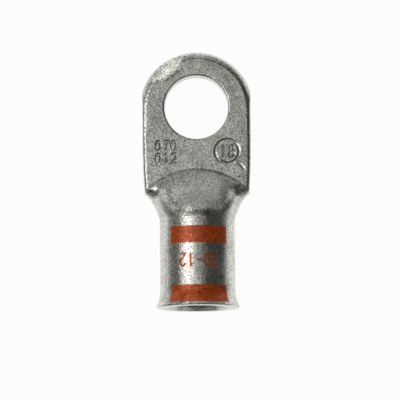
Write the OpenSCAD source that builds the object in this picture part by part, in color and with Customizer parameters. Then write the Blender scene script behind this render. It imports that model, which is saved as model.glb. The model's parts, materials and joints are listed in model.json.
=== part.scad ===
// Tin-plated copper cable lug with a round stud hole, as it lies on a table.
//
// The lug is one piece of heavy copper tube.  One end is pressed flat into the palm and
// punched for a stud.  The other end stays round and takes the cable, and its mouth is
// belled.  Between them the neck turns from flat to round, inside and outside.
//
// The pieces are drawn in the lug's own axes: origin at the stud hole's centre, in the
// middle of the palm's thickness, +Y towards the tip, barrel along -Y.  as_it_lies() then
// sets the lug down on z = 0, where it rests on the start of the barrel and on the tip.

/* [Palm] */
// Width of the palm beside the stud hole
palm_w = 23.0; // [21:0.1:26]
// Width of the palm where it meets the neck
palm_root_w = 22.2; // [20.5:0.1:23]
// Thickness of the palm, two tube walls pressed together
palm_t = 4.25; // [3.6:0.05:5]
// From the stud hole's centre to the tip
tip_reach = 11.9; // [10.5:0.1:13]
// Radius of the rounded tip, in plan
tip_r = 12.1; // [11.7:0.1:14]
// Rounding of the tip's upper and lower edges
tip_round = 1.75; // [0.8:0.05:1.8]
// Rounding of the palm's side edges
side_round = 0.8; // [0.4:0.05:1.2]
// From the stud hole's centre to where the sides begin to draw in
taper_start = 7.0; // [4:0.5:10]

/* [Stud hole] */
// Diameter of the stud hole
stud_d = 13.5; // [10.5:0.1:14.5]
// Rounding of the hole's two edges
stud_round = 0.45; // [0.2:0.05:0.8]

/* [Neck] */
// From the stud hole's centre to the top of the arched crease
crease_reach = 13.4; // [12:0.1:15]
// Radius of the arched crease, in plan
crease_r = 15.0; // [13.5:0.1:20]
// Height of the small step at the crease
crease_step = 0.25; // [0.1:0.05:0.4]
// From the top of the crease to the round barrel
neck_len = 10.5; // [9:0.1:14]
// How soon the neck narrows: higher values draw it in sooner
waist_ease = 1.1; // [1:0.05:2]
// Where the palm's blunt edges have faded away, as a share of the neck
edge_share = 0.45; // [0.3:0.05:1]
// Where the domed shoulder in front of the barrel begins, as a share of the neck
dome_at = 0.66; // [0.55:0.01:0.8]
// Rise of that shoulder, as a share of the neck's whole rise
dome_rise = 0.25; // [0.1:0.01:0.4]
// How strongly the shoulder's foot arches back towards the flanks
dome_arch = 1.3; // [0.1:0.1:2]
// How far the fan-shaped ramp sags between the crease and the shoulder
ramp_sag = 0.5; // [0:0.05:0.8]
// Where the flanks of the ramp begin, as a share of its half width
flank_at = 0.1; // [0:0.05:0.4]
// How soon the flanks rise: higher values lift them nearer to the crease
flank_ease = 3.0; // [2:0.1:4]
// How far the rise gathers towards the middle at the crease: 1 follows a circle
crown_ease = 2.5; // [1.5:0.1:4]
// Where the pressed walls open into the cavity, as a share of the neck
pinch_share = 0.15; // [0.1:0.01:0.3]

/* [Barrel] */
// Outer diameter of the barrel
barrel_d = 15.9; // [15:0.1:17]
// Diameter of the bore for the conductor
bore_d = 11.4; // [10:0.1:12]
// Length of the round barrel, from the neck to the mouth
barrel_len = 18.8; // [14:0.1:30]
// Length of the belled stretch at the mouth
bell_len = 3.5; // [2:0.1:5]
// How far the bell spreads beyond the barrel, on the radius
bell_rise = 0.85; // [0.3:0.05:1.2]
// Rounding of the rim's outer edge
rim_round = 0.35; // [0.2:0.05:0.5]
// Width of the rounded entry inside the mouth, on the radius
entry_w = 1.0; // [0.6:0.1:1.8]
// Depth of the rounded entry
entry_len = 2.2; // [1.8:0.1:3]

/* [Colour code] */
// Width of each printed colour band
band_w = 3.7; // [1.5:0.1:5]
// From the start of the barrel to the upper band
upper_band_gap = 1.95; // [0.2:0.05:3]
// From the lower band to the mouth
lower_band_gap = 0.7; // [0.6:0.1:3]
// Part of the circle that the bands cover to the left of the middle, in degrees
band_left = 44; // [20:1:60]
// Part of the circle that the bands cover to the right of the middle, in degrees
band_right = 49; // [20:1:60]
// Thickness of the ink
ink_t = 0.05; // [0.03:0.01:0.1]

/* [Size stamps] */
// Diameter of the round stamped marks
stamp_d = 5.4; // [3:0.1:6]
// From the lug's centreline to each mark
stamp_offset = 6.5; // [5:0.1:7.5]
// From the stud hole's centre to the marks, along the lug
stamp_reach = 9.6; // [9:0.1:11]
// Width of the stamped ring
stamp_ring_w = 0.35; // [0.2:0.05:0.6]
// Depth of the stamped marks
stamp_depth = 0.12; // [0.05:0.01:0.2]

/* [Hidden] */

COPPER_TINNED = [0.62, 0.61, 0.57];
ORANGE_INK = [0.72, 0.27, 0.07];

// A small overlap for cuts that pass right through
CUT = 1;
// How far a faceted end sits inside the round solid that it joins
TUCK = 0.02;
// Half of the least height that a section may have at its edge
SEAM = 0.02;
// Length of the small step at the crease
STEP_RUN = 0.15;
// The last place, as a share of the neck, where the shoulder's foot may lie
LAST_FOOT = 0.97;
// The crown of the cavity's first section, and how much more wall its sides keep there
CAVITY_EASE = 3;
SIDE_WALL = 1.2;
// Segments across a section of the neck, and rings along it
ACROSS = 32;
ALONG = 20;
// Segments in each small rounding
ROUND_STEPS = 6;
$fn = 96;

barrel_r = barrel_d / 2;
bore_r = bore_d / 2;
barrel_start = crease_reach + neck_len;
mouth_reach = barrel_start + barrel_len;
rim_r = barrel_r + bell_rise;
tip_centre = tip_reach - tip_r;

function mix(a, b, t) = a * (1 - t) + b * t;
function smooth(t) = t * t * (3 - 2 * t);

// ---- Resting pose ---------------------------------------------------------------------
// The table touches the barrel's lowest line where the barrel starts, and the rounded
// lower edge of the tip.  Points are [y, z] in the lug's own axes.
heel = [-barrel_start, -barrel_r];
tip_edge = [tip_reach - tip_round, tip_round - palm_t / 2];
rim_edge = [rim_round - mouth_reach, rim_round - rim_r];
heel_to_tip = tip_edge - heel;
rest_tilt = atan2(heel_to_tip[1], heel_to_tip[0]) - asin(tip_round / norm(heel_to_tip));
table_z = cos(rest_tilt) * heel[1] - sin(rest_tilt) * heel[0];
front_y = cos(rest_tilt) * tip_edge[0] - sin(rest_tilt) * tip_edge[1] + tip_round;
back_y = cos(rest_tilt) * rim_edge[0] + sin(rest_tilt) * rim_edge[1] - rim_round;

module as_it_lies() {
    translate([0, -(front_y + back_y) / 2, -table_z])
        rotate([-rest_tilt, 0, 0])
            children();
}

// Turns a profile drawn as [radius, distance from the hole] about the barrel's axis.
module about_barrel(from = 0, sweep = 360) {
    rotate([90, 0, 0])
        rotate_extrude(angle = sweep, start = from)
            children();
}

// ---- Sections -------------------------------------------------------------------------
// Half the height of a section at x: an edge with rounded corners that carries a crown.
// crown(t) gives the crown's height at a share t of the half width.
function half_height(x, half_w, edge, round_r, crown, ease) =
    let (into_corner = max(0, abs(x) - (half_w - round_r)),
         t = abs(x) / half_w)
    edge - round_r
    + sqrt(max(0, round_r * round_r - into_corner * into_corner))
    + crown(t) * pow(max(0, 1 - t * t), ease / 2);

// Closed loop of points round a section.  place(x) gives y, so a ring can follow an arc.
function ring(half_w, edge, round_r, crown, ease, place) = [
    for (side = [1, -1], i = [0 : ACROSS])
        let (x = side * half_w * cos(180 * i / ACROSS))
        [x, place(x), side * half_height(x, half_w, edge, round_r, crown, ease)]
];

// Solid through a list of rings that all have the same number of points.
module loft(rings) {
    n = len(rings[0]);
    last = len(rings) - 1;
    half = n / 2;
    cap = [for (i = [0 : half - 2]) [i, i + 1, n - 2 - i, n - 1 - i]];
    polyhedron(
        points = [for (r = rings) each r],
        faces = concat(
            cap,
            [for (k = [0 : last - 1], i = [0 : n - 1])
                let (j = (i + 1) % n)
                [k * n + j, k * n + i, (k + 1) * n + i, (k + 1) * n + j]],
            [for (q = cap) [last * n + q[3], last * n + q[2], last * n + q[1], last * n + q[0]]]
        )
    );
}

// ---- Palm and neck --------------------------------------------------------------------
function crease_y(x) = -(crease_reach + crease_r - sqrt(crease_r * crease_r - x * x));

// The functions below take u, a share of the neck's length, and t, a share of its half
// width.  The middle climbs as a sagging ramp and then rounds over in a domed shoulder.
function middle_rise(u, t) =
    let (foot = min(LAST_FOOT, 1 - (1 - dome_at) * pow(1 - t * t, dome_arch)),
         top = dome_rise * (1 - foot) / (1 - dome_at),
         v = u / foot)
    u < foot
        ? (1 - top) * (v + ramp_sag * v * (1 - v) * (1 - 2 * v))
        : 1 - top * pow((1 - u) / (1 - foot), 2);

function flank_rise(u) = 1 - pow(1 - u, flank_ease);

// Share of the neck's rise: the ramp in the middle, steep flanks at both sides.
function rise_at(u, t = 0) =
    let (s = max(0, (t - flank_at) / (1 - flank_at)))
    mix(middle_rise(u, t), flank_rise(u), smooth(s));

neck_edge = palm_t / 2 + crease_step;
neck_end_r = barrel_r - TUCK;
function neck_half_w(u) = mix(neck_end_r, palm_root_w / 2, pow(1 - u, waist_ease));
function neck_half_h(u, t = 0) = mix(neck_edge, neck_end_r, rise_at(u, t));
function neck_y(u, x) = mix(crease_y(x), -barrel_start, u);

FLAT = function (t) 0;

function palm_ring(v) = ring(
    mix(palm_w, palm_root_w, v * v) / 2, palm_t / 2, side_round, FLAT, 1,
    function (x) mix(-taper_start, crease_y(x), v)
);

function neck_ring(u, run) =
    let (fade = smooth(min(1, u / edge_share)),
         edge = mix(neck_edge, 2 * SEAM, fade))
    ring(
        neck_half_w(u), edge, mix(side_round, SEAM, fade),
        function (t) neck_half_h(u, t) - edge, mix(crown_ease, 1, flank_rise(u)),
        function (x) neck_y(u, x) - run
    );

module palm_and_neck() {
    front_ring = ring(
        palm_w / 2, palm_t / 2, side_round, FLAT, 1, function (x) tip_reach + CUT
    );
    loft(concat(
        [front_ring],
        [for (v = [0, 0.35, 0.6, 0.8, 1]) palm_ring(v)],
        [for (k = [0 : ALONG]) neck_ring(k / ALONG, k == 0 ? STEP_RUN : 0)],
        [neck_ring(1, CUT / 2)]
    ));
}

// The rounded tip as a turned disc, and a block that leaves the rest of the lug whole.
module tip_form() {
    edge = [for (i = [-ROUND_STEPS : ROUND_STEPS])
        let (a = 90 * i / ROUND_STEPS, flank = palm_t / 2 - tip_round)
        [tip_r - tip_round * (1 - cos(a)), tip_round * sin(a) + sign(i) * flank]];
    translate([0, tip_centre, 0])
        rotate_extrude()
            polygon(concat(
                [[0, -palm_t], [tip_r - tip_round, -palm_t]],
                edge,
                [[tip_r - tip_round, palm_t], [0, palm_t]]
            ));
    span = mouth_reach + tip_centre;
    translate([-palm_w, -mouth_reach, -barrel_d])
        cube([2 * palm_w, span, 2 * barrel_d]);
}

module stud_hole() {
    edge_z = palm_t / 2 - stud_round;
    arc = [for (i = [0 : ROUND_STEPS])
        let (a = 90 * i / ROUND_STEPS)
        [stud_d / 2 + stud_round * (1 - cos(a)), edge_z + stud_round * sin(a)]];
    cylinder(d = stud_d, h = palm_t + 2 * CUT, center = true);
    for (side = [0, 1])
        mirror([0, 0, side])
            rotate_extrude()
                polygon(concat(
                    [[0, edge_z]],
                    arc,
                    [[stud_d / 2 + stud_round, palm_t], [0, palm_t]]
                ));
}

// Inside of the neck: a pinched slit that opens into the round bore.
module neck_cavity() {
    pinch_h = neck_half_h(pinch_share);
    cavity_end_r = bore_r - TUCK;
    function cavity_ring(v, run) =
        let (u = mix(pinch_share, 1, v),
             open = (neck_half_h(u) - pinch_h) / (neck_end_r - pinch_h),
             half_w = neck_half_w(u) - (neck_end_r - cavity_end_r) * mix(SIDE_WALL, 1, v))
        ring(
            half_w, 2 * SEAM, SEAM,
            function (t) mix(SEAM, cavity_end_r - 2 * SEAM, open), mix(CAVITY_EASE, 1, v),
            function (x) neck_y(u, x) - run
        );
    loft(concat(
        [for (k = [0 : ALONG - 4]) cavity_ring(k / (ALONG - 4), 0)],
        [cavity_ring(1, CUT)]
    ));
}

// ---- Barrel ---------------------------------------------------------------------------
// Radius of an arc that leaves a straight line and rises by h over a length.
function bell_arc_r(length, h) = (length * length + h * h) / (2 * h);

bell_start = mouth_reach - rim_round - bell_len;
bell_r = bell_arc_r(bell_len, bell_rise);
// Outside of the barrel as [distance from the hole, radius]
outside = concat(
    [[barrel_start, barrel_r]],
    [for (i = [0 : ROUND_STEPS])
        let (s = bell_len * i / ROUND_STEPS)
        [bell_start + s, barrel_r + bell_r - sqrt(bell_r * bell_r - s * s)]]
);
function outside_r(reach) = lookup(reach, outside);

module barrel() {
    rim = [for (i = [0 : ROUND_STEPS])
        let (a = 90 * i / ROUND_STEPS)
        [rim_r - rim_round * (1 - cos(a)), mouth_reach - rim_round * (1 - sin(a))]];
    about_barrel()
        polygon(concat(
            [[0, barrel_start]],
            [for (p = outside) [p[1], p[0]]],
            rim,
            [[0, mouth_reach]]
        ));
}

module wire_bore() {
    entry_r = bell_arc_r(entry_len, entry_w);
    arc = [for (i = [0 : ROUND_STEPS])
        let (s = entry_len * i / ROUND_STEPS)
        [bore_r + entry_r - sqrt(entry_r * entry_r - s * s), mouth_reach - entry_len + s]];
    translate([0, -barrel_start, 0])
        rotate([90, 0, 0])
            cylinder(r = bore_r, h = barrel_len + CUT);
    about_barrel()
        polygon(concat(
            [[0, mouth_reach - entry_len]],
            arc,
            [[bore_r + entry_w, mouth_reach + CUT], [0, mouth_reach + CUT]]
        ));
}

// ---- Size stamps ----------------------------------------------------------------------
module stamps() {
    floor_z = palm_t / 2 - stamp_depth;
    translate([-stamp_offset, -stamp_reach, floor_z])
        cylinder(d = stamp_d, h = CUT);
    translate([stamp_offset, -stamp_reach, floor_z])
        difference() {
            cylinder(d = stamp_d, h = CUT);
            translate([0, 0, -CUT])
                cylinder(d = stamp_d - 2 * stamp_ring_w, h = 3 * CUT);
        }
}

// ---- Parts ----------------------------------------------------------------------------
module lug() {
    color(COPPER_TINNED)
        as_it_lies()
            difference() {
                union() {
                    intersection() {
                        palm_and_neck();
                        tip_form();
                    }
                    barrel();
                }
                stud_hole();
                wire_bore();
                neck_cavity();
                stamps();
            }
}

// One printed band of ink from one reach to another, following the barrel's outside.
module colour_band(from, to) {
    inner = concat(
        [[outside_r(from), from]],
        [for (p = outside) if (p[0] > from && p[0] < to) [p[1], p[0]]],
        [[outside_r(to), to]]
    );
    last = len(inner) - 1;
    color(ORANGE_INK)
        as_it_lies()
            about_barrel(90 - band_right, band_left + band_right)
                polygon(concat(
                    inner,
                    [for (i = [last : -1 : 0]) inner[i] + [ink_t, 0]]
                ));
}

module upper_colour_band() {
    from = barrel_start + upper_band_gap;
    colour_band(from, from + band_w);
}

module lower_colour_band() {
    to = mouth_reach - lower_band_gap;
    colour_band(to - band_w, to);
}

lug();
upper_colour_band();
lower_colour_band();
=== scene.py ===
"""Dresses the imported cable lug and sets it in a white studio.

The visual copy of the lug gets its stamped figures, crease line and small dents, the
barrel its printed size, and all of it worn tin plating and orange ink.
"""
import json
import math

import bmesh
import bpy
from mathutils import Matrix, Vector

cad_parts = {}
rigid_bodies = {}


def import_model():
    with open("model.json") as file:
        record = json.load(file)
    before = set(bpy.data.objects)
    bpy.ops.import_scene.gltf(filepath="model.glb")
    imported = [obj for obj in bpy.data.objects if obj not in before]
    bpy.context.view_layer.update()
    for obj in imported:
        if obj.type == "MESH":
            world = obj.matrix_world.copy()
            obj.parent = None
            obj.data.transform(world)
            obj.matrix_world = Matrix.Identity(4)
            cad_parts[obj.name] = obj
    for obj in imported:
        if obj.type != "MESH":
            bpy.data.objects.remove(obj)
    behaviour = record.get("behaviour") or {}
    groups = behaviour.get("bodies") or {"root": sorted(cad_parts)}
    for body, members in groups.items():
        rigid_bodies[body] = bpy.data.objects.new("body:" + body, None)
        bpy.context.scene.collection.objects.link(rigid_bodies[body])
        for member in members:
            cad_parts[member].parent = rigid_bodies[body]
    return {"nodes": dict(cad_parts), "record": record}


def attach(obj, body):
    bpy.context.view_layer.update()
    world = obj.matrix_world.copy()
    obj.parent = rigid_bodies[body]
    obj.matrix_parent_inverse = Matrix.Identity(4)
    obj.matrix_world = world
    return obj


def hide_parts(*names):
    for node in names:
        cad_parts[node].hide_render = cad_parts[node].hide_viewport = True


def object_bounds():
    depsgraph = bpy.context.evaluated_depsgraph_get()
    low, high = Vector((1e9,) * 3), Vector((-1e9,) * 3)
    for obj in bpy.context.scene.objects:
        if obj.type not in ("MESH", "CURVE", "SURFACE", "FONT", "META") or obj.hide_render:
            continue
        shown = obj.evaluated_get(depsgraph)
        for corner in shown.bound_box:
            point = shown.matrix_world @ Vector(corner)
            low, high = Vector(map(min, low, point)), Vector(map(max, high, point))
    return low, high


MM = 0.001

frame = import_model()
CAD_BOX = [list(corner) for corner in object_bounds()]
# The point on the floor below the lug's middle
MIDDLE = ((CAD_BOX[0][0] + CAD_BOX[1][0]) / 2, (CAD_BOX[0][1] + CAD_BOX[1][1]) / 2, 0)
scene = bpy.context.scene
scene.view_settings.view_transform = "Standard"

# ---- The lug's own axes ---------------------------------------------------------------
# Origin at the stud hole's centre, x across, y towards the tip, z out of the palm's face.
MOUNTS = {mount["name"]: mount for mount in frame["record"]["mounts"]}
HOLE = Vector(MOUNTS["stud_hole"]["pos_m"])
PALM_UP = Vector(MOUNTS["stud_hole"]["axis"])
ACROSS = Vector((1, 0, 0))
TO_TIP = PALM_UP.cross(ACROSS)
LUG_AXES = Matrix.Translation(HOLE) @ Matrix((ACROSS, TO_TIP, PALM_UP)).transposed().to_4x4()

# Sizes of the CAD solid that the marks follow
PALM_T = 4.25 * MM
BARREL_R = 7.95 * MM
STAMP_OFFSET = 6.5 * MM
STAMP_REACH = 9.6 * MM
STAMP_D = 5.4 * MM
STAMP_RING_W = 0.35 * MM
STAMP_DEPTH = 0.12 * MM

# ---- Camera ---------------------------------------------------------------------------
# The palm's face is turned a little away from the camera.
CAMERA_LEAN = math.radians(6.9)
CAMERA_ROLL = math.radians(-0.47)
CAMERA_DISTANCE = 0.797
CAMERA_LENS = 337
SENSOR = 36
AIM_ACROSS = 0.61 * MM
AIM_BELOW_HOLE = 19.5 * MM


def make_camera():
    data = bpy.data.cameras.new("camera")
    data.lens = CAMERA_LENS
    data.sensor_width = SENSOR
    camera = bpy.data.objects.new("camera", data)
    back = Matrix.Rotation(CAMERA_LEAN, 3, "X") @ PALM_UP
    up = back.cross(ACROSS)
    aim = HOLE + ACROSS * AIM_ACROSS - up * AIM_BELOW_HOLE
    turn = Matrix((ACROSS, up, back)).transposed() @ Matrix.Rotation(CAMERA_ROLL, 3, "Z")
    camera.matrix_world = Matrix.Translation(aim + back * CAMERA_DISTANCE) @ turn.to_4x4()
    scene.collection.objects.link(camera)
    scene.camera = camera


# ---- Node helpers ---------------------------------------------------------------------
class Graph:
    """Short calls for building one node tree."""

    def __init__(self, tree):
        self.nodes, self.links = tree.nodes, tree.links
        self.nodes.clear()

    def add(self, kind, inputs=None, **settings):
        """A new node, with sockets linked to an output or set to a value."""
        node = self.nodes.new(kind)
        for name, value in settings.items():
            setattr(node, name, value)
        for key, value in (inputs or {}).items():
            if isinstance(value, bpy.types.NodeSocket):
                self.links.new(value, node.inputs[key])
            else:
                node.inputs[key].default_value = value
        return node

    def math(self, operation, a, b=0.0):
        return self.add("ShaderNodeMath", {0: a, 1: b}, operation=operation).outputs[0]

    def remap(self, value, low, high, to_low=0.0, to_high=1.0, smooth=False):
        kind = "SMOOTHSTEP" if smooth else "LINEAR"
        return self.add("ShaderNodeMapRange", {
            "Value": value, "From Min": low, "From Max": high,
            "To Min": to_low, "To Max": to_high}, interpolation_type=kind).outputs["Result"]

    def noise(self, vector, scale, detail, rough):
        node = self.add("ShaderNodeTexNoise", {
            "Vector": vector, "Scale": scale, "Detail": detail, "Roughness": rough})
        return node.outputs["Fac"]

    def vector(self, operation, a, b):
        """Value of a vector operation that gives one number."""
        node = self.add("ShaderNodeVectorMath", {0: a, 1: b}, operation=operation)
        return node.outputs["Value"]

    def blend(self, share, a, b):
        """A mix of two colours: sockets 6 and 7 of the node, with the result in 2."""
        node = self.add("ShaderNodeMix", {0: share, 6: a, 7: b}, data_type="RGBA")
        return node.outputs[2]

    def place(self):
        """The point being shaded, in its object's own axes."""
        return self.add("ShaderNodeTexCoord").outputs["Object"]

    def white_rays(self, mirrored=1.0):
        """How far a ray sees plain white: 1 from the camera, mirrored for a glossy one."""
        path = self.add("ShaderNodeLightPath").outputs
        glossy = self.math("MULTIPLY", path["Is Glossy Ray"], mirrored)
        seen = self.math("MAXIMUM", path["Is Camera Ray"], glossy)
        return self.math("MAXIMUM", seen, path["Is Transmission Ray"])


def new_material(name):
    material = bpy.data.materials.new(name)
    material.use_nodes = True
    return material, Graph(material.node_tree)


# ---- Studio ---------------------------------------------------------------------------
# The world's level for rays that light the lug; the rest see it as white
WORLD_FILL = 0.3
FLOOR_SIZE = 6
FLOOR_PALENESS = 0.95
# How far the floor shows as plain white; the rest takes light and shadow
FLOOR_GLOW = 0.96
# The lug mirrors the white floor out to the first distance and none past the second
MIRRORED_FULL = 0.03
MIRRORED_NONE = 0.09
ROOM_RADIUS = 1.5
ROOM_SEGMENTS = 64
ROOM_RINGS = 32
ROOM_LEVEL = 0.03
ROOM_TINT = (1.0, 0.99, 0.965, 1)
# Azimuth and angle from straight up of each softbox, the half angles where it is full
# and where it has faded out, all in degrees, and its level.
SOFTBOXES = {
    "key": (168, 34, 6, 25, 2.0),
    "key_side": (130, 20, 6, 22, 0.25),
    "tip_sheen": (118, 56, 6, 13, 1.7),
    "overhead": (100, 14, 8, 26, 0.3),
    "overhead_right": (0, 14, 5, 26, 0.18),
    "right": (0, 60, 10, 35, 0.05),
    "far_side": (88, 68, 8, 30, 0.48),
    "far_right": (50, 74, 6, 22, 0.2),
    "wing_right": (30, 88, 4, 11, 1.5),
    "far_low": (114, 88, 6, 18, 0.3),
    "far_left": (148, 86, 5, 24, 0.9),
    "left_low": (180, 72, 8, 24, 0.1),
    "near_side": (275, 85, 25, 50, 0.2),
    "near_right": (315, 84, 10, 34, 0.4),
    "near_left": (225, 80, 8, 35, 0.2),
}


def make_world():
    world = bpy.data.worlds.new("white_studio")
    world.use_nodes = True
    graph = Graph(world.node_tree)
    level = graph.remap(graph.white_rays(), 0, 1, WORLD_FILL, 1)
    sky = graph.add("ShaderNodeBackground", {"Color": (1, 1, 1, 1), "Strength": level})
    graph.add("ShaderNodeOutputWorld", {"Surface": sky.outputs[0]})
    scene.world = world


def make_floor():
    bpy.ops.mesh.primitive_plane_add(size=FLOOR_SIZE)
    floor = bpy.context.object
    floor.name = "floor"
    material, graph = new_material("white_floor")
    pale = (FLOOR_PALENESS, FLOOR_PALENESS, FLOOR_PALENESS, 1)
    paper = graph.add("ShaderNodeBsdfDiffuse", {"Color": pale})
    glow = graph.add("ShaderNodeEmission", {"Strength": 1.0})
    away = graph.vector("DISTANCE", graph.place(), MIDDLE)
    near = graph.remap(away, MIRRORED_FULL, MIRRORED_NONE, 1, 0, smooth=True)
    share = graph.math("MULTIPLY", graph.white_rays(near), FLOOR_GLOW)
    mix = graph.add("ShaderNodeMixShader", {0: share, 1: paper.outputs[0], 2: glow.outputs[0]})
    graph.add("ShaderNodeOutputMaterial", {"Surface": mix.outputs[0]})
    floor.data.materials.append(material)


def direction(azimuth, zenith):
    """Unit vector at an azimuth and an angle from straight up, in degrees."""
    azimuth, zenith = math.radians(azimuth), math.radians(zenith)
    return (math.sin(zenith) * math.cos(azimuth),
            math.sin(zenith) * math.sin(azimuth),
            math.cos(zenith))


def make_room():
    """A dark room round the lug whose walls glow where the softboxes are."""
    bpy.ops.mesh.primitive_uv_sphere_add(
        radius=ROOM_RADIUS, segments=ROOM_SEGMENTS, ring_count=ROOM_RINGS)
    room = bpy.context.object
    room.name = "room"
    material, graph = new_material("softbox_room")
    outward = graph.add(
        "ShaderNodeVectorMath", {0: graph.place()}, operation="NORMALIZE").outputs[0]
    total = ROOM_LEVEL
    for azimuth, zenith, full, faded, level in SOFTBOXES.values():
        facing = graph.vector("DOT_PRODUCT", outward, direction(azimuth, zenith))
        lit = graph.remap(facing, math.cos(math.radians(faded)), math.cos(math.radians(full)),
                          0, level, smooth=True)
        total = graph.math("ADD", lit, total)
    glow = graph.add("ShaderNodeEmission", {"Color": ROOM_TINT, "Strength": total})
    graph.add("ShaderNodeOutputMaterial", {"Surface": glow.outputs[0]})
    room.data.materials.append(material)
    room.visible_camera = False
    room.visible_transmission = False


# ---- Materials ------------------------------------------------------------------------
# A noise is (cells to the metre, detail, roughness), and a range the part of it in use.
TIN_DARK = (0.36, 0.357, 0.33, 1)
TIN_PALE = (0.86, 0.855, 0.80, 1)
STAIN_NOISE = (260, 4, 0.6)
GRAIN_NOISE = (2300, 3, 0.6)
GRAIN_SHARE = 0.7
TONE_RANGE = (0.38, 0.62)
# A pit keeps this share of the plating's tone
PIT_TONE = 0.45
PIT_NOISE = (3300, 1, 0.5)
PIT_RANGE = (0.60, 0.68)
TIN_ROUGH = (0.15, 0.26)
ROUGH_NOISE = (700, 3, 0.5)
ROUGH_RANGE = (0.3, 0.7)
SOFT_DENT_NOISE = (420, 2, 0.5)
GRAIN_RELIEF = 0.055 * MM
SOFT_DENT_RELIEF = 0.05 * MM

INK_DEEP = (0.34, 0.02, 0.0, 1)
INK_PALE = (0.82, 0.145, 0.006, 1)
INK_FINISH = {"Metallic": 0.35, "Roughness": 0.35, "Coat Weight": 0.25, "Coat Roughness": 0.2}
MOTTLE_NOISE = (1500, 4, 0.65)
MOTTLE_RANGE = (0.3, 0.7)
WEAR_NOISE = (1900, 5, 0.7)
WEAR_RANGE = (0.6, 0.66)
# How much of the metal shows where ink has worn through
WORN_THROUGH = 0.7
# How far wear reaches in from a band's edges, and how much more there is at the edge
EDGE_WEAR_REACH = 0.22 * MM
EDGE_WEAR = 0.17


def tin_surface(graph, place):
    """Tumbled tin plating: broad stains, a fine grain, small soft dents and dark pits."""
    stain = graph.noise(place, *STAIN_NOISE)
    grain = graph.noise(place, *GRAIN_NOISE)
    tone = graph.math("ADD", graph.math("MULTIPLY", stain, 1 - GRAIN_SHARE),
                      graph.math("MULTIPLY", grain, GRAIN_SHARE))
    colour = graph.blend(graph.remap(tone, *TONE_RANGE), TIN_DARK, TIN_PALE)
    pits = graph.remap(graph.noise(place, *PIT_NOISE), *PIT_RANGE, 1, PIT_TONE)
    pitted = graph.add("ShaderNodeVectorMath", {0: colour, "Scale": pits}, operation="SCALE")
    rough = graph.remap(graph.noise(place, *ROUGH_NOISE), *ROUGH_RANGE, *TIN_ROUGH)
    fine = graph.add("ShaderNodeBump", {
        "Strength": 1.0, "Distance": GRAIN_RELIEF, "Height": grain})
    both = graph.add("ShaderNodeBump", {
        "Strength": 1.0, "Distance": SOFT_DENT_RELIEF,
        "Height": graph.noise(place, *SOFT_DENT_NOISE), "Normal": fine.outputs[0]})
    return graph.add("ShaderNodeBsdfPrincipled", {
        "Base Color": pitted.outputs[0], "Metallic": 1.0, "Roughness": rough,
        "Normal": both.outputs[0]})


def tinned_copper():
    material, graph = new_material("tinned_copper")
    surface = tin_surface(graph, graph.place())
    graph.add("ShaderNodeOutputMaterial", {"Surface": surface.outputs[0]})
    return material


def edge_wear(graph, place, band):
    """More wear towards the two edges of a band that lie across the barrel."""
    to_tip = band.matrix_world.to_3x3().inverted() @ TO_TIP
    reaches = [to_tip.dot(vertex.co) for vertex in band.data.vertices]
    middle = (min(reaches) + max(reaches)) / 2
    half = (max(reaches) - min(reaches)) / 2
    along = graph.vector("DOT_PRODUCT", place, to_tip)
    off = graph.math("ABSOLUTE", graph.math("SUBTRACT", along, middle))
    return graph.remap(off, half - EDGE_WEAR_REACH, half, 0, EDGE_WEAR)


def orange_ink(name, band=None):
    """Thin glossy ink, mottled and worn through in spots and along a band's edges."""
    material, graph = new_material(name)
    place = graph.place()
    mottle = graph.noise(place, *MOTTLE_NOISE)
    colour = graph.blend(graph.remap(mottle, *MOTTLE_RANGE), INK_DEEP, INK_PALE)
    ink = graph.add("ShaderNodeBsdfPrincipled", {"Base Color": colour, **INK_FINISH})
    wear = graph.noise(place, *WEAR_NOISE)
    if band:
        wear = graph.math("ADD", wear, edge_wear(graph, place, band))
    worn = graph.math("MULTIPLY", graph.remap(wear, *WEAR_RANGE), WORN_THROUGH)
    metal = tin_surface(graph, place)
    mix = graph.add("ShaderNodeMixShader", {0: worn, 1: ink.outputs[0], 2: metal.outputs[0]})
    graph.add("ShaderNodeOutputMaterial", {"Surface": mix.outputs[0]})
    return material


# ---- Figures --------------------------------------------------------------------------
# Each figure stands in a box 1 high and 1 wide and is a list of (points, closed) strokes.
ARC_STEPS = 20
# A stroke's corner is drawn out to at most 1 / MITRE of its half width
MITRE = 0.5


def arc(cx, cy, rx, ry, start, end, steps=ARC_STEPS):
    """Points along part of an ellipse, from one angle in degrees to another."""
    return [(cx + rx * math.cos(math.radians(start + (end - start) * i / steps)),
             cy + ry * math.sin(math.radians(start + (end - start) * i / steps)))
            for i in range(steps + 1)]


def loop(cx, cy, rx, ry):
    return arc(cx, cy, rx, ry, 0, 360)[:-1]


FIGURES = {
    "0": [(loop(0.5, 0.5, 0.5, 0.5), True)],
    "1": [([(0.2, 0.78), (0.55, 1.0), (0.55, 0.0)], False)],
    "2": [(arc(0.5, 0.7, 0.46, 0.3, 165, -35) + [(0.0, 0.0), (1.0, 0.0)], False)],
    "7": [([(0.0, 1.0), (1.0, 1.0), (0.35, 0.0)], False)],
    "8": [(loop(0.5, 0.755, 0.4, 0.245), True), (loop(0.5, 0.255, 0.5, 0.255), True)],
    "-": [([(0.1, 0.5), (0.9, 0.5)], False)],
}


def write(text, height, width, gap, centre=(0, 0)):
    """Strokes for a line of figures, centred on a point."""
    total = len(text) * width + (len(text) - 1) * gap
    for place, mark in enumerate(text):
        left = centre[0] - total / 2 + place * (width + gap)
        low = centre[1] - height / 2
        for points, closed in FIGURES[mark]:
            yield [(left + x * width, low + y * height) for x, y in points], closed


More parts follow.
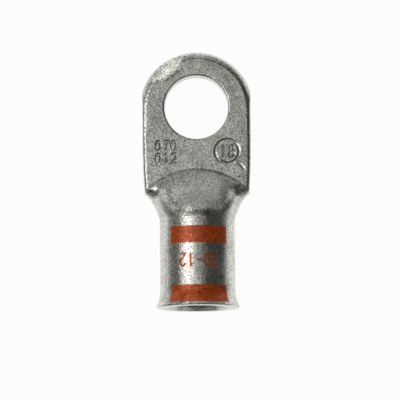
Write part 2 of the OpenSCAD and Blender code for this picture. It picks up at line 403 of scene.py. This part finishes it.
def side_steps(points, closed):
    """For each point of a stroke, the step to its left side, longer at a corner."""
    steps = []
    for i, (x, y) in enumerate(points):
        before = points[i - 1] if i or closed else None
        after = points[(i + 1) % len(points)] if closed or i + 1 < len(points) else None
        ways = [Vector((x - before[0], y - before[1])).normalized()] if before else []
        ways += [Vector((after[0] - x, after[1] - y)).normalized()] if after else []
        way = sum(ways, Vector((0, 0))).normalized()
        corner = max(MITRE, way.dot(ways[0]))
        steps.append(Vector((-way.y, way.x)) / corner)
    return steps


def sweep(mesh, points, closed, section, place):
    """Sweeps a closed section of (side, height) points along a stroke.

    place(x, y, z) puts a point into the scene.
    """
    rings = []
    for (x, y), step in zip(points, side_steps(points, closed)):
        rings.append([mesh.verts.new(place(x + step.x * side, y + step.y * side, height))
                      for side, height in section])
    count = len(section)
    spans = len(rings) if closed else len(rings) - 1
    for k in range(spans):
        a, b = rings[k], rings[(k + 1) % len(rings)]
        for i in range(count):
            j = (i + 1) % count
            mesh.faces.new((a[i], a[j], b[j], b[i]))
    if not closed:
        mesh.faces.new(list(reversed(rings[0])))
        mesh.faces.new(rings[-1])


def mesh_object(name, mesh):
    """An object made of a bmesh, which is freed."""
    bmesh.ops.recalc_face_normals(mesh, faces=mesh.faces)
    data = bpy.data.meshes.new(name)
    mesh.to_mesh(data)
    mesh.free()
    made = bpy.data.objects.new(name, data)
    scene.collection.objects.link(made)
    return made


# ---- Stamped marks and dents ----------------------------------------------------------
# Text, height of the line above the mark's centre, and the figures' height, width and gap
STAMP_LINES = (("070", 1.35 * MM, 2.0 * MM, 0.98 * MM, 0.68 * MM),
               ("012", -1.35 * MM, 2.0 * MM, 0.98 * MM, 0.68 * MM))
RING_LINES = (("18", 0.0, 2.5 * MM, 1.05 * MM, 0.8 * MM),)
# (half width, depth) down the side of a groove. Gentle sides catch the key light.
GROOVE = ((0.32 * MM, 0.0), (0.04 * MM, 0.14 * MM))
RING_GROOVE = ((0.44 * MM, 0.0), (0.18 * MM, 0.13 * MM), (0.07 * MM, 0.16 * MM))
# How far a cutter stands out above the surface it cuts
CLEAR = 0.3 * MM
RING_STEPS = 96

# The pressing's arched line, where the palm ends and the neck begins. The section's points
# are (distance out from the crease's arc, height above the palm).
CREASE_REACH = 13.4 * MM
CREASE_R = 15.0 * MM
CREASE_HALF_ANGLE = 46
CREASE_STEPS = 60
CREASE_SECTION = ((-0.12 * MM, 0.5 * MM), (0.28 * MM, 0.5 * MM), (0.28 * MM, 0.0),
                  (0.02 * MM, -0.16 * MM), (-0.12 * MM, -0.05 * MM))

# Dents in the palm as (x, y, half length, half width, depth, turn) in mm and degrees
DRAG_MARK = (9.3, -12.4, 1.5, 0.5, 0.14, -50)
SMALL_DENTS = (
    (-1.75, -12.0, 0.28, 0.20, 0.08, 10),
    (-0.85, -11.7, 0.34, 0.22, 0.09, -25),
    (0.35, -11.95, 0.26, 0.20, 0.07, 30),
    (1.55, -11.75, 0.40, 0.22, 0.10, 5),
    (2.7, -12.05, 0.24, 0.18, 0.06, 0),
)
SCRATCHES = (
    (-1.9, -8.5, 0.95, 0.10, 0.05, 96),
    (9.4, -15.0, 0.95, 0.16, 0.12, -3),
    (-9.3, -3.0, 0.9, 0.09, 0.05, 60),
    (5.2, 8.3, 0.8, 0.09, 0.05, -35),
)
DENT_SEGMENTS = 24
DENT_RINGS = 12

# The tip's rounding is flattened at the upper left: the flat's nearest reach from the
# hole's centre, its bearing, its tilt out of the palm's face and the cutter's size.
FLAT_REACH = 9.8 * MM
FLAT_BEARING = math.radians(127)
FLAT_TILT = math.radians(24)
FLAT_CUTTER = 20 * MM


def groove_section(side, top):
    """A groove that narrows to its floor, for a surface at height top."""
    reach = side[0][0]
    right = [(half, top - depth) for half, depth in side]
    left = [(-half, height) for half, height in reversed(right)]
    return [(-reach, top + CLEAR), (reach, top + CLEAR)] + right + left


def on_palm(x, y, z):
    return LUG_AXES @ Vector((x, y, z))


def stroke_cutters():
    """(points, closed, section) of each groove: the figures, the ring and the crease."""
    face = PALM_T / 2
    marks = ((STAMP_LINES, -STAMP_OFFSET, face - STAMP_DEPTH),
             (RING_LINES, STAMP_OFFSET, face))
    for lines, x, top in marks:
        for text, rise, height, width, gap in lines:
            for points, closed in write(text, height, width, gap, (x, rise - STAMP_REACH)):
                yield points, closed, groove_section(GROOVE, top)
    radius = (STAMP_D - STAMP_RING_W) / 2
    ring = arc(STAMP_OFFSET, -STAMP_REACH, radius, radius, 0, 360, RING_STEPS)[:-1]
    yield ring, True, groove_section(RING_GROOVE, face)
    crease = arc(0, -CREASE_REACH - CREASE_R, CREASE_R, CREASE_R,
                 90 + CREASE_HALF_ANGLE, 90 - CREASE_HALF_ANGLE, CREASE_STEPS)
    yield crease, False, [(side, face + height) for side, height in CREASE_SECTION]


def make_groove(points, closed, section):
    mesh = bmesh.new()
    sweep(mesh, points, closed, section, on_palm)
    return mesh_object("groove", mesh)


def make_dent(x, y, long, wide, deep, turn):
    """A stretched ball sunk half into the palm's face."""
    bpy.ops.mesh.primitive_uv_sphere_add(
        segments=DENT_SEGMENTS, ring_count=DENT_RINGS, radius=MM)
    dent = bpy.context.object
    dent.matrix_world = (
        LUG_AXES @ Matrix.Translation((x * MM, y * MM, PALM_T / 2))
        @ Matrix.Rotation(math.radians(turn), 4, "Z") @ Matrix.Diagonal((long, wide, deep, 1)))
    return dent


def make_flat():
    """A block whose underside is the flat on the tip's rounding."""
    bpy.ops.mesh.primitive_cube_add(size=FLAT_CUTTER)
    flat = bpy.context.object
    flat.matrix_world = (
        LUG_AXES @ Matrix.Rotation(FLAT_BEARING, 4, "Z")
        @ Matrix.Translation((FLAT_REACH, 0, PALM_T / 2)) @ Matrix.Rotation(FLAT_TILT, 4, "Y")
        @ Matrix.Translation((0, 0, FLAT_CUTTER / 2)))
    return flat


def make_cutters():
    cutters = bpy.data.collections.new("cutters")
    scene.collection.children.link(cutters)
    made = [make_groove(*stroke) for stroke in stroke_cutters()]
    made += [make_dent(*dent) for dent in (DRAG_MARK, *SMALL_DENTS, *SCRATCHES)]
    made.append(make_flat())
    for cutter in made:
        for home in list(cutter.users_collection):
            home.objects.unlink(cutter)
        cutters.objects.link(cutter)
    return cutters


# ---- The lug's visual copy ------------------------------------------------------------
# Corners of the CAD mesh this near to each other, in metres, become one
WELD = 1e-7
# Edges that turn by more than this are shown sharp
SHARP_ANGLE = math.radians(26)
# The end of the neck lies this far from the hole, and this near to the barrel's surface
SEAM_REACH = 23.9 * MM
SEAM_STEP = 0.03 * MM


def close_seam(mesh):
    """Lifts the end of the neck, which lies a hair inside the barrel, flush with it."""
    to_lug = LUG_AXES.inverted()
    for vertex in mesh.vertices:
        x, y, z = to_lug @ vertex.co
        radius = math.hypot(x, z)
        if abs(y + SEAM_REACH) < SEAM_STEP and BARREL_R - SEAM_STEP < radius < BARREL_R:
            vertex.co = LUG_AXES @ Vector((x * BARREL_R / radius, y, z * BARREL_R / radius))


def shade_evenly(mesh):
    """Smooth shading up to a sharp angle, led by the larger faces so that flats stay flat."""
    mesh.shade_smooth()
    around = [[] for _ in mesh.vertices]
    for face in mesh.polygons:
        for vertex in face.vertices:
            around[vertex].append((face.normal.copy(), face.area))
    limit = math.cos(SHARP_ANGLE)
    normals = []
    for face in mesh.polygons:
        for vertex in face.vertices:
            near = [normal * area for normal, area in around[vertex]
                    if normal.dot(face.normal) > limit]
            normals.append(sum(near, Vector()).normalized())
    mesh.normals_split_custom_set(normals)


def cut_marks(lug):
    """The lug's mesh with its stamped figures, crease line and dents cut in."""
    cutters = make_cutters()
    cut = lug.modifiers.new("marks", "BOOLEAN")
    cut.operand_type = "COLLECTION"
    cut.collection = cutters
    cut.solver = "EXACT"
    cut.operation = "DIFFERENCE"
    bpy.context.view_layer.update()
    depsgraph = bpy.context.evaluated_depsgraph_get()
    marked = bpy.data.meshes.new_from_object(lug.evaluated_get(depsgraph))
    lug.modifiers.clear()
    for cutter in list(cutters.objects):
        bpy.data.objects.remove(cutter)
    bpy.data.collections.remove(cutters)
    return marked


def make_lug(material):
    """A marked copy of the CAD lug, in its place."""
    node = frame["nodes"]["lug"]
    mesh = bmesh.new()
    mesh.from_mesh(node.data)
    bmesh.ops.remove_doubles(mesh, verts=mesh.verts, dist=WELD)
    bmesh.ops.transform(mesh, matrix=node.matrix_world, verts=mesh.verts)
    lug = mesh_object("stamped_lug", mesh)
    lug.data = cut_marks(lug)
    close_seam(lug.data)
    shade_evenly(lug.data)
    lug.data.materials.clear()
    lug.data.materials.append(material)
    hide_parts("lug")
    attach(lug, "root")


# ---- Printed size ---------------------------------------------------------------------
PRINT_TEXT = "70-12"
# The line's middle: how far below the hole, and how far to the right round the barrel
PRINT_REACH = 33.1 * MM
PRINT_SIDE = 0.35 * MM
PRINT_HEIGHT = 2.65 * MM
PRINT_WIDTH = 1.15 * MM
PRINT_GAP = 0.62 * MM
PRINT_STROKE = 0.4 * MM
# How far the ink stands out of the barrel, and how far it reaches in
PRINT_T = 0.03 * MM
PRINT_TUCK = 0.01 * MM
# Spans to the width of a figure, so that its strokes bend round the barrel
PRINT_SPANS = 5


def on_barrel(x, y, z):
    """Bends a point of the print round the barrel, turned half round to read from the tip."""
    turn = (PRINT_SIDE - x) / BARREL_R
    out = BARREL_R + z
    return LUG_AXES @ Vector((out * math.sin(turn), -PRINT_REACH - y, out * math.cos(turn)))


def finer(points, closed, step):
    """The same stroke with no span longer than step, so that it can bend."""
    ends = points[1:] + ([points[0]] if closed else [])
    made = []
    for (ax, ay), (bx, by) in zip(points, ends):
        parts = max(1, math.ceil(math.hypot(bx - ax, by - ay) / step))
        made += [(ax + (bx - ax) * i / parts, ay + (by - ay) * i / parts)
                 for i in range(parts)]
    return made if closed else made + [points[-1]]


def make_print(material):
    """The size printed between the bands, as a thin curved solid on the barrel."""
    half = PRINT_STROKE / 2
    section = ((-half, PRINT_T), (0, PRINT_T), (half, PRINT_T),
               (half, -PRINT_TUCK), (0, -PRINT_TUCK), (-half, -PRINT_TUCK))
    mesh = bmesh.new()
    for points, closed in write(PRINT_TEXT, PRINT_HEIGHT, PRINT_WIDTH, PRINT_GAP):
        fine = finer(points, closed, PRINT_WIDTH / PRINT_SPANS)
        sweep(mesh, fine, closed, section, on_barrel)
    print_mark = mesh_object("printed_size", mesh)
    print_mark.data.materials.append(material)
    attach(print_mark, "root")


# ---- Build ----------------------------------------------------------------------------
make_camera()
make_world()
make_floor()
make_room()

tin = tinned_copper()
make_lug(tin)
make_print(orange_ink("print_ink"))
for name, node in frame["nodes"].items():
    material = orange_ink(name + "_ink", node) if "band" in name else tin
    for material_slot in node.material_slots:
        material_slot.material = material
